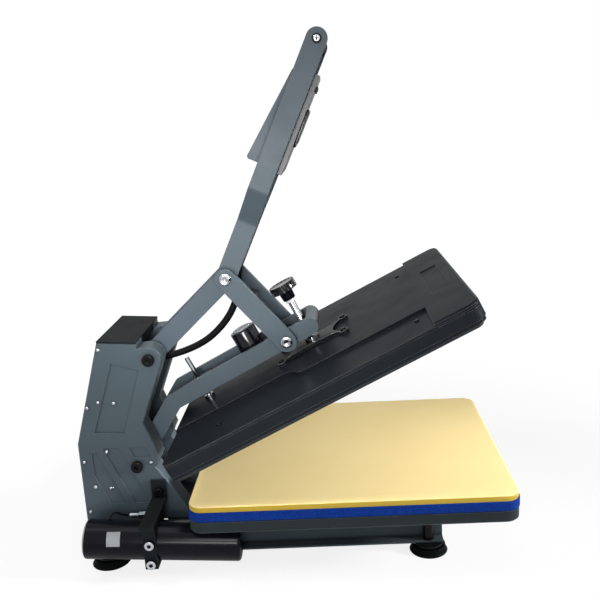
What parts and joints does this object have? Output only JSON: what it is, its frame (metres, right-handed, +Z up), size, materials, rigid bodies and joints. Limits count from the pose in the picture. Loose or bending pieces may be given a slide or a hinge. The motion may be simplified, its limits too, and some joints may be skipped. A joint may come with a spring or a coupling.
{
  "type": "flat heat press",
  "caption": "Clamshell flat heat press, open: lever with toggle links, tilted heater, padded lower platen, pressure knob, tubular canister.",
  "frame": {"origin": "centre of the object's bounding box at the table top, under the four feet", "axes": "+X towards the operator, along the press's depth; +Y to the operator's right, across the press; +Z up"},
  "size_m": [0.7028, 0.435, 0.8247],
  "materials": {
    "painted_frame": "satin",
    "painted_cover": "satin",
    "black_sheet": "satin",
    "heater_black": "satin",
    "coated_plate": "matte",
    "platen_grey": "satin",
    "felt": "matte",
    "silicone": "matte",
    "rubber": "matte",
    "chrome": "polished",
    "steel": "satin",
    "black_screw": "gloss",
    "gloss_plastic": "gloss",
    "matte_plastic": "matte",
    "pole_face": "satin",
    "tube_black": "gloss",
    "white_nylon": "satin",
    "mineral_board": "matte",
    "hose_black": "satin"
  },
  "bodies": {
    "base": {"rubber_feet": "rubber", "foot_stems": "black_screw", "base_frame": "painted_frame", "platen_supports": "painted_frame", "lower_platen": "platen_grey", "silicone_pad": "silicone", "felt_pad": "felt", "column_frame_left": "painted_frame", "column_frame_right": "painted_frame", "side_cover_left": "painted_cover", "side_cover_right": "painted_cover", "top_cover": "black_sheet", "rear_cover": "black_sheet", "cover_screws": "steel", "upper_pivot_shaft": "steel", "lower_pivot_shaft": "steel", "pivot_screws": "black_screw", "power_inlet": "matte_plastic", "canister_tube": "tube_black", "canister_caps": "steel", "clamp_jaw_outer": "black_sheet", "clamp_jaw_inner": "black_sheet", "hanger_strap": "black_sheet", "clamp_screws": "chrome", "sensor_plug": "steel", "sensor_lead": "hose_black"},
    "rocker": {"power_rocker": "gloss_plastic"},
    "arm": {"arm_bar_left": "painted_frame", "arm_bar_right": "painted_frame", "arm_yoke": "painted_frame", "arm_cross_plates": "painted_frame", "electromagnet": "gloss_plastic", "magnet_pole": "pole_face", "front_pivot_pin": "chrome"},
    "heater": {"heater_cover": "heater_black", "insulation_board": "mineral_board", "heating_plate": "coated_plate", "spider_plate": "black_sheet", "heater_screws": "black_screw", "guide_rod": "chrome"},
    "knob": {"pressure_knob": "gloss_plastic", "pressure_rod": "chrome", "knob_collar": "white_nylon"},
    "front_links": {"front_link_left": "painted_frame", "front_link_right": "painted_frame", "knee_pins": "chrome", "strike_plate": "steel"},
    "lever": {"lever_bar_left": "painted_frame", "lever_bar_right": "painted_frame", "knee_shaft": "steel", "handle_grip": "rubber", "grip_screws": "chrome", "control_housing": "painted_frame", "control_panel": "matte_plastic", "display_bezel": "gloss_plastic", "cable_hose": "hose_black", "hose_gland": "matte_plastic"},
    "button_1": {"panel_button_1": "gloss_plastic"},
    "button_2": {"panel_button_2": "gloss_plastic"},
    "button_3": {"panel_button_3": "gloss_plastic"}
  },
  "joints": [
    {"name": "arm_open", "type": "hinge", "parent": "base", "child": "arm", "pos_m": [-0.2515, 0, 0.154], "axis": [0, 1, 0], "range_deg": [0, 26.3], "stiffness_Nm_per_rad": 45, "springref_deg": -101.99},
    {"name": "lever_turn", "type": "hinge", "parent": "base", "child": "lever", "pos_m": [-0.2155, 0, 0.336], "axis": [0, 1, 0], "range_deg": [0, 52.38], "deforming": ["cable_hose"]},
    {"name": "front_link_turn", "type": "hinge", "parent": "arm", "child": "front_links", "pos_m": [0.00341, 0, 0.34691], "axis": [0, 1, 0], "range_deg": [-34.4, 0]},
    {"name": "pressure_lift", "type": "slide", "parent": "arm", "child": "heater", "axis": [-0.4431, 0, 0.8965], "range_m": [0, 0.006]},
    {"name": "knob_turn", "type": "hinge", "parent": "heater", "child": "knob", "pos_m": [0.04451, 0, 0.33599], "axis": [-0.4431, 0, 0.8965], "range_deg": [0, 1081]},
    {"name": "power_rock", "type": "hinge", "parent": "base", "child": "rocker", "pos_m": [-0.347, 0, 0.111], "axis": [0, 1, 0], "range_deg": [0, 16]},
    {"name": "button_press_1", "type": "slide", "parent": "lever", "child": "button_1", "axis": [-0.9092, 0, 0.4163], "range_m": [0, 0.001], "stiffness_N_per_m": 400, "springref_m": -0.0005},
    {"name": "button_press_2", "type": "slide", "parent": "lever", "child": "button_2", "axis": [-0.9092, 0, 0.4163], "range_m": [0, 0.001], "stiffness_N_per_m": 400, "springref_m": -0.0005},
    {"name": "button_press_3", "type": "slide", "parent": "lever", "child": "button_3", "axis": [-0.9092, 0, 0.4163], "range_m": [0, 0.001], "stiffness_N_per_m": 400, "springref_m": -0.0005}
  ],
  "couplings": [
    {"joint": "lever_turn", "follows": "arm_open", "ratio": 1.9914},
    {"joint": "front_link_turn", "follows": "arm_open", "ratio": -1.3078},
    {"joint": "knob_turn", "follows": "pressure_lift", "rad_per_m": 3141.6}
  ]
}
